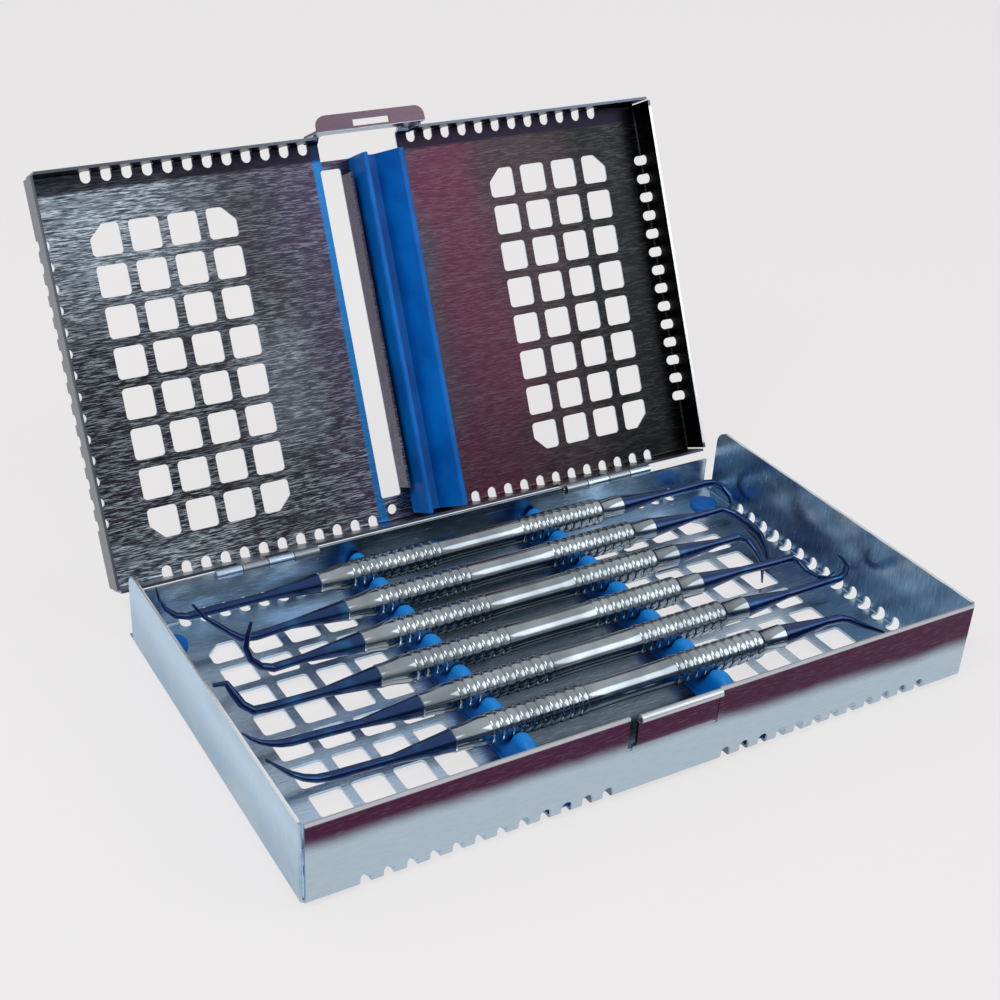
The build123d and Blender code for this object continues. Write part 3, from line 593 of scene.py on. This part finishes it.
def silicone(settings):
    """Soft blue silicone with a faint moulded grain, and a painted highlight that makes the tops of the
    domes lighter.
    """
    finish = Finish("blue_silicone")
    cloud = finish.noise(finish.place, scale=60.0, detail=3.0, roughness=0.55)
    grain = finish.noise(finish.place, scale=2600.0, roughness=0.6)
    base = finish.blend(finish.ramp(cloud, 0.3, 0.7), settings.body, settings.shade)
    height = finish.split(finish.place)[2]
    # Painted highlight: the tops of the domes lighter.
    crest = finish.both(finish.strip(height, CREST_HIGHLIGHT_BAND), CREST_HIGHLIGHT_SHARE)
    finish.set("Base Color", finish.blend(crest, base, settings.crest))
    finish.set("Roughness", finish.line(grain, 0.15, 0.36))
    finish.set("Subsurface Weight", 0.12)
    finish.set("Subsurface Radius", (0.2 * MM, 0.6 * MM, 1.6 * MM))
    finish.set("Subsurface Scale", 1.0)
    finish.set("Specular IOR Level", 0.22)
    finish.set("Normal", finish.bump(grain, strength=0.15, distance=0.03 * MM))
    return finish.material


def polished_handle(settings):
    """Polished stainless steel with fine turning marks round the handle."""
    finish = Finish("polished_handle")
    turned = finish.noise(finish.mapped(finish.place, scale=(3500, 60, 60)), scale=1.0)
    cloud = finish.noise(finish.place, scale=90.0)
    steel = finish.blend(finish.ramp(cloud, 0.3, 0.7), settings.steel, settings.dark_steel)
    finish.set("Base Color", finish.blend(finish.both(turned, 0.25), steel, settings.turning))
    finish.set("Metallic", 1.0)
    finish.set("Roughness", finish.line(turned, 0.10, 0.07))
    finish.set("Normal", finish.bump(turned, strength=0.06, distance=0.02 * MM))
    return finish.material


def blue_coating(settings):
    """Dark blue coating on polished steel, with lighter patches at random as a painted highlight."""
    finish = Finish("blue_coating")
    cloud = finish.noise(finish.place, scale=120.0)
    grain = finish.noise(finish.mapped(finish.place, scale=(900, 2500, 2500)), scale=1.0)
    # Painted highlight: lighter patches of the coating at random.
    highlight_patches = finish.ramp(cloud, 0.54, 0.90)
    finish.set("Base Color", finish.blend(highlight_patches, settings.coating, settings.coating_highlight))
    finish.set("Metallic", 0.9)
    finish.set("Roughness", finish.line(grain, 0.12, 0.14))
    finish.set("Coat Weight", 0.4)
    finish.set("Coat Roughness", 0.08)
    return finish.material


# ---------------------------------------------------------------- pieces
def finished(name, bm, material):
    """Object made of a bmesh, at the origin."""
    mesh = bpy.data.meshes.new(name)
    bm.to_mesh(mesh)
    bm.free()
    mesh.materials.append(material)
    piece = bpy.data.objects.new(name, mesh)
    bpy.context.scene.collection.objects.link(piece)
    return piece


def handle_outline(settings, whole):
    """Half outline of a handle from its left end, as (distance, radius)."""
    left_grip = settings.neck_length + settings.taper_length
    right_grip = whole - settings.collar_length - settings.grip_length
    neck, root, crest = settings.neck_radius, settings.root_radius, settings.grip_radius
    chamfer = settings.chamfer
    flare = settings.neck_length * settings.neck_share
    points = [(0, 0), (0, neck - chamfer), (chamfer, neck), (flare, neck)]
    for t in (0.25, 0.5, 0.75):
        ease = t * t * (3 - 2 * t)
        points.append((flare + (left_grip - flare) * t, neck + (crest - neck) * ease))
    points += ribs(settings, left_grip, root, crest)
    waist_start = left_grip + settings.grip_length
    shoulder = crest - settings.waist_step
    for t in (0.02, 0.15, 0.35, 0.65, 0.85, 0.98):
        sag = math.sin(math.pi * t) ** 0.6
        points.append((waist_start + (right_grip - waist_start) * t,
                       shoulder - (shoulder - settings.waist_radius) * sag))
    points += ribs(settings, right_grip, root, crest)
    collar, radius = whole - settings.collar_length, settings.collar_radius
    points += [(collar, radius + settings.collar_step), (collar + settings.collar_slope, radius),
               (whole - chamfer, radius), (whole, radius - chamfer), (whole, 0)]
    return points


def ribs(settings, start, root, crest):
    """Outline of one ribbed length that begins at start."""
    count = round(settings.grip_length / settings.rib_pitch)
    margin = (settings.grip_length - (count - 1) * settings.rib_pitch) / 2
    points = []
    for i in range(count):
        middle = start + margin + i * settings.rib_pitch
        for reach, rise in RIB_SECTION:
            points.append((middle + reach * settings.rib_width, root + (crest - root) * rise))
    return points


def turned_bar(name, outline, place, material):
    """Solid of revolution about X, its outline starting and ending on the axis."""
    bm = bmesh.new()
    verts = [bm.verts.new((x, 0, radius)) for x, radius in outline]
    edges = [bm.edges.new(pair) for pair in zip(verts, verts[1:])]
    bmesh.ops.spin(bm, geom=verts + edges, cent=(0, 0, 0), axis=(1, 0, 0), dvec=(0, 0, 0),
                   angle=math.tau, steps=TURNED_STEPS, use_merge=True, use_duplicate=False)
    bmesh.ops.remove_doubles(bm, verts=bm.verts, dist=WELD)
    bmesh.ops.recalc_face_normals(bm, faces=bm.faces)
    bmesh.ops.translate(bm, verts=bm.verts, vec=place)
    for face in bm.faces:
        face.smooth = True
    for edge in bm.edges:
        if edge.is_manifold and edge.calc_face_angle(0) > SHARP_ANGLE:
            edge.smooth = False
    return finished(name, bm, material)


def sheet_strip(bm, low, high, round_over):
    """Flat strip of sheet with a softened top edge."""
    cube = bmesh.ops.create_cube(bm, size=1.0)["verts"]
    bmesh.ops.scale(bm, verts=cube, vec=high - low)
    bmesh.ops.translate(bm, verts=cube, vec=(low + high) / 2)
    edges = {edge for vert in cube for edge in vert.link_edges}
    top = [edge for edge in edges if all(vert.co.z > high.z - WELD for vert in edge.verts)]
    bmesh.ops.bevel(bm, geom=top, offset=round_over, segments=2, profile=0.5, affect="EDGES", material=-1)


def rail_height(settings, across, along, axis_z, top):
    """Height of a domed rail at a point of its plan."""
    base, pitch = settings.base, settings.pitch
    last = pitch * INSTRUMENTS / 2  # a rail has one place more than there are instruments
    place = max(-last, min(last, round(along / pitch) * pitch))
    beside = abs(along - place)
    level = axis_z
    if beside < settings.cradle:
        level -= math.sqrt(settings.cradle ** 2 - beside ** 2)
    if abs(along) > last + pitch / 4:
        crest, reach = last + settings.cradle + settings.end_dome, settings.end_dome
    else:
        crest, reach = (math.floor(abs(along) / pitch) + 0.5) * pitch, settings.dome
    offset = abs(abs(along) - crest) / reach
    if offset < 1:
        level += (top - axis_z) * math.sqrt(1 - offset ** 2)
    edge = min(CROWN_RIM, abs(across) / settings.half_width)
    section = (1 - edge ** settings.shoulder) ** (1 / settings.shoulder)
    return base + (level - base) * section


def domed_rail(name, node, settings, axis_z, material):
    """Silicone rail with a dome between every two places, on the pegs of its node."""
    low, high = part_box(node)
    middle, size = (low + high) / 2, high - low
    bm = bmesh.new()
    bm.from_mesh(nodes[node].data)
    bmesh.ops.remove_doubles(bm, verts=bm.verts, dist=WELD)
    whole = bm.verts[:] + bm.edges[:] + bm.faces[:]
    cut = bmesh.ops.bisect_plane(bm, geom=whole, plane_co=(0, 0, settings.base), plane_no=(0, 0, 1),
                                 clear_outer=True)["geom_cut"]
    bmesh.ops.edgeloop_fill(bm, edges=[part for part in cut if isinstance(part, bmesh.types.BMEdge)])

    columns, rows = CROWN_GRID
    crown = bmesh.ops.create_grid(bm, x_segments=columns, y_segments=rows, size=0.5)["verts"]
    for vert in crown:
        across, along = vert.co.x * 2 * settings.half_width, vert.co.y * (size.y - settings.lap)
        height = rail_height(settings, across, along, axis_z, high.z)
        vert.co = (middle.x + across, middle.y + along, height)
    faces = {face for vert in crown for face in vert.link_faces}
    border = [edge for edge in {e for face in faces for e in face.edges} if len(edge.link_faces) == 1]
    skirt = bmesh.ops.extrude_edge_only(bm, edges=border)["geom"]
    for vert in skirt:
        if isinstance(vert, bmesh.types.BMVert):
            vert.co.z = settings.base - settings.lap
    rim = [part for part in skirt if isinstance(part, bmesh.types.BMEdge) and len(part.link_faces) == 1]
    bmesh.ops.edgeloop_fill(bm, edges=rim)
    bmesh.ops.recalc_face_normals(bm, faces=bm.faces)
    for face in faces:
        face.smooth = True
    return finished(name, bm, material)


class CASSETTE_OT_tray(bpy.types.Operator):
    """Gives the tray and its hinge pins their brushed steel"""
    bl_idname = "cassette.tray"
    bl_label = "Dress tray"

    def execute(self, context):
        sheet = context.scene.cassette_sheet
        dress(["tray_shell"], tray_sheet(sheet))
        dress(["hinge_pin_left", "hinge_pin_right"], pin_steel(sheet))
        return {"FINISHED"}


class CASSETTE_OT_hinge_web(bpy.types.Operator):
    """Raises the tray's rear wall to the hinge line between the knuckles"""
    bl_idname = "cassette.hinge_web"
    bl_label = "Raise rear wall"

    def execute(self, context):
        web = context.scene.cassette_hinge_web
        inner_x = web.outer_x - 4 * web.knuckle
        spans = [(-web.left_end, -web.outer_x, web.foot, web.top), (-inner_x, inner_x, web.foot, web.top)]
        for side in (-1, 1):
            for outer in (web.outer_x - web.knuckle, web.outer_x - 3 * web.knuckle):
                ends = sorted((side * outer, side * (outer - web.knuckle)))
                spans.append((*ends, web.notch_foot, web.notch_top))
        bm = bmesh.new()
        for left, right, foot, top in spans:
            low = tray_middle + Vector((left, web.face, foot))
            high = tray_middle + Vector((right, web.back, top))
            sheet_strip(bm, low, high, web.round_over)
        piece = finished("rear_wall_upstand", bm, nodes["tray_shell"].data.materials[0])
        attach(piece, "tray")
        return {"FINISHED"}


class CASSETTE_OT_lid(bpy.types.Operator):
    """Gives the lid its brushed steel"""
    bl_idname = "cassette.lid"
    bl_label = "Dress lid"

    def execute(self, context):
        dress(["lid_shell"], lid_sheet(context.scene.cassette_sheet))
        return {"FINISHED"}


class CASSETTE_OT_silicone(bpy.types.Operator):
    """Gives the strip and the feet their blue silicone and moulds the two domed rails"""
    bl_idname = "cassette.silicone"
    bl_label = "Dress silicone"

    def execute(self, context):
        rubber = silicone(context.scene.cassette_silicone)
        dress([name for name in nodes if name.startswith("foot_") or name == "lid_strip"], rubber)
        low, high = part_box("handle_1")
        axis_z = (low.z + high.z) / 2
        for side in ("left", "right"):
            node = f"tray_rail_{side}"
            rail = domed_rail(f"domed_rail_{side}", node, context.scene.cassette_rails, axis_z, rubber)
            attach(rail, "tray")
            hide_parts(node)
        return {"FINISHED"}


class CASSETTE_OT_handles(bpy.types.Operator):
    """Turns the six ribbed handles"""
    bl_idname = "cassette.handles"
    bl_label = "Turn handles"

    def execute(self, context):
        settings = context.scene.cassette_instruments
        steel = polished_handle(settings)
        for number in range(1, INSTRUMENTS + 1):
            node = f"handle_{number}"
            low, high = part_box(node)
            outline = handle_outline(settings, high.x - low.x)
            place = Vector((low.x, (low.y + high.y) / 2, (low.z + high.z) / 2))
            bar = turned_bar(f"ribbed_handle_{number}", outline, place, steel)
            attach(bar, f"instrument_{number}")
            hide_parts(node)
        return {"FINISHED"}


class CASSETTE_OT_working_ends(bpy.types.Operator):
    """Gives the twelve working ends their blue coating"""
    bl_idname = "cassette.working_ends"
    bl_label = "Dress working ends"

    def execute(self, context):
        coating = blue_coating(context.scene.cassette_instruments)
        dress([name for name in nodes if name.startswith("tip_")], coating)
        return {"FINISHED"}


# ---------------------------------------------------------------- stage
def camera_frame(settings):
    """Camera matrix from its direction, roll and distance."""
    az, el = settings.azimuth, settings.elevation
    back = Vector((math.sin(az) * math.cos(el), -math.cos(az) * math.cos(el), math.sin(el)))
    right = (-back).cross(Vector((0, 0, 1))).normalized()
    up = right.cross(-back)
    turned_right = right * math.cos(settings.roll) + up * math.sin(settings.roll)
    turned_up = up * math.cos(settings.roll) - right * math.sin(settings.roll)
    eye = Vector(settings.target) + back * settings.distance
    matrix = Matrix((turned_right, turned_up, back)).transposed().to_4x4()
    matrix.translation = eye
    return matrix


def floor_paper(settings):
    """Matt pale floor, shown to the camera and the steel as a plain backdrop that keeps the shadow."""
    plain = Finish("floor_paper")
    speckle = plain.noise(plain.place, scale=400.0)
    lighter = [min(1.0, channel * 1.01) for channel in settings.floor]
    plain.set("Base Color", plain.blend(speckle, tuple(settings.floor), lighter))
    plain.set("Roughness", 0.9)
    plain.set("Specular IOR Level", 0.1)
    rays = plain.node("ShaderNodeLightPath").outputs
    seen = plain.either(rays["Is Camera Ray"], rays["Is Glossy Ray"])
    seen = plain.either(seen, rays["Is Transmission Ray"])
    glow = plain.node("ShaderNodeEmission", Color=tuple(settings.backdrop), Strength=1.0)
    mix = plain.node("ShaderNodeMixShader")
    plain.feed(mix.inputs[0], plain.both(seen, settings.backdrop_share))
    plain.feed(mix.inputs[1], plain.shader.outputs[0])
    plain.feed(mix.inputs[2], glow.outputs[0])
    plain.feed(plain.tree.nodes["Material Output"].inputs["Surface"], mix.outputs[0])
    return plain.material


def studio_world(settings):
    """Soft studio that lightens from the horizon upwards."""
    world = bpy.data.worlds.new("studio")
    world.use_nodes = True
    tree = world.node_tree
    background = tree.nodes["Background"]
    place = tree.nodes.new("ShaderNodeTexCoord")
    height = tree.nodes.new("ShaderNodeSeparateXYZ")
    tree.links.new(place.outputs["Generated"], height.inputs[0])
    fade = tree.nodes.new("ShaderNodeValToRGB")
    low, high = fade.color_ramp.elements
    low.position, low.color = settings.horizon_height, (*settings.horizon, 1)
    high.position, high.color = settings.zenith_height, (*settings.zenith, 1)
    tree.links.new(height.outputs["Z"], fade.inputs[0])
    tree.links.new(fade.outputs[0], background.inputs["Color"])
    background.inputs["Strength"].default_value = settings.sky_strength
    return world


def softbox(name, offset, size, power):
    """Rectangular lamp that looks at the middle of the open cassette."""
    aim = tray_middle + Vector((0, 0.03, 0.02))
    lamp = bpy.data.lights.new(name, "AREA")
    lamp.shape = "RECTANGLE"
    lamp.size, lamp.size_y = size
    lamp.energy = power
    box = bpy.data.objects.new(name, lamp)
    box.location = aim + Vector(offset)
    box.rotation_euler = (-Vector(offset)).to_track_quat("-Z", "Y").to_euler()
    bpy.context.scene.collection.objects.link(box)


class CASSETTE_OT_stage(bpy.types.Operator):
    """Lays the pale floor and sets the soft lights and the camera"""
    bl_idname = "cassette.stage"
    bl_label = "Set stage"

    def execute(self, context):
        settings = context.scene.cassette_stage
        bm = bmesh.new()
        bmesh.ops.create_grid(bm, x_segments=1, y_segments=1, size=FLOOR_REACH)
        floor = finished("floor", bm, floor_paper(settings))
        context.scene.world = studio_world(settings)
        softbox("key_softbox", offset=(-0.55, -0.28, 0.73), size=(0.5, 0.3), power=4.2)
        softbox("fill_softbox", offset=(0.6, -0.53, 0.58), size=(0.6, 0.6), power=2.0)

        camera = bpy.data.cameras.new("camera")
        camera.lens = settings.lens
        camera.sensor_width = settings.sensor
        camera.shift_x, camera.shift_y = settings.shift_x, settings.shift_y
        camera.clip_start = 0.01
        rig = bpy.data.objects.new("camera", camera)
        context.scene.collection.objects.link(rig)
        rig.matrix_world = camera_frame(settings)
        context.scene.camera = rig
        context.scene.view_settings.view_transform = "Standard"
        return {"FINISHED"}


class CASSETTE_PT_panel(bpy.types.Panel):
    """Lists the pieces of the cassette"""
    bl_idname = "CASSETTE_PT_panel"
    bl_label = "Instrument cassette"
    bl_space_type = "VIEW_3D"
    bl_region_type = "UI"
    bl_category = "Cassette"

    def draw(self, context):
        for operator in OPERATORS:
            self.layout.operator(operator.bl_idname)
        for group in GROUPS:
            settings = getattr(context.scene, group)
            for name in settings.bl_rna.properties.keys():
                if name not in ("rna_type", "name"):
                    self.layout.prop(settings, name)


OPERATORS = (CASSETTE_OT_tray, CASSETTE_OT_hinge_web, CASSETTE_OT_lid, CASSETTE_OT_silicone,
             CASSETTE_OT_handles, CASSETTE_OT_working_ends, CASSETTE_OT_stage)
GROUPS = {
    "cassette_sheet": SheetSettings,
    "cassette_hinge_web": HingeWebSettings,
    "cassette_rails": RailSettings,
    "cassette_silicone": SiliconeSettings,
    "cassette_instruments": InstrumentSettings,
    "cassette_stage": StageSettings,
}


def register():
    for name, group in GROUPS.items():
        bpy.utils.register_class(group)
        setattr(bpy.types.Scene, name, bpy.props.PointerProperty(type=group))
    for kind in (*OPERATORS, CASSETTE_PT_panel):
        bpy.utils.register_class(kind)


def unregister():
    for kind in (CASSETTE_PT_panel, *reversed(OPERATORS)):
        bpy.utils.unregister_class(kind)
    for name, group in GROUPS.items():
        delattr(bpy.types.Scene, name)
        bpy.utils.unregister_class(group)


def main():
    register()
    bpy.ops.cassette.tray()
    bpy.ops.cassette.hinge_web()
    bpy.ops.cassette.lid()
    bpy.ops.cassette.silicone()
    bpy.ops.cassette.handles()
    bpy.ops.cassette.working_ends()
    bpy.ops.cassette.stage()


if __name__ == "__main__":
    main()
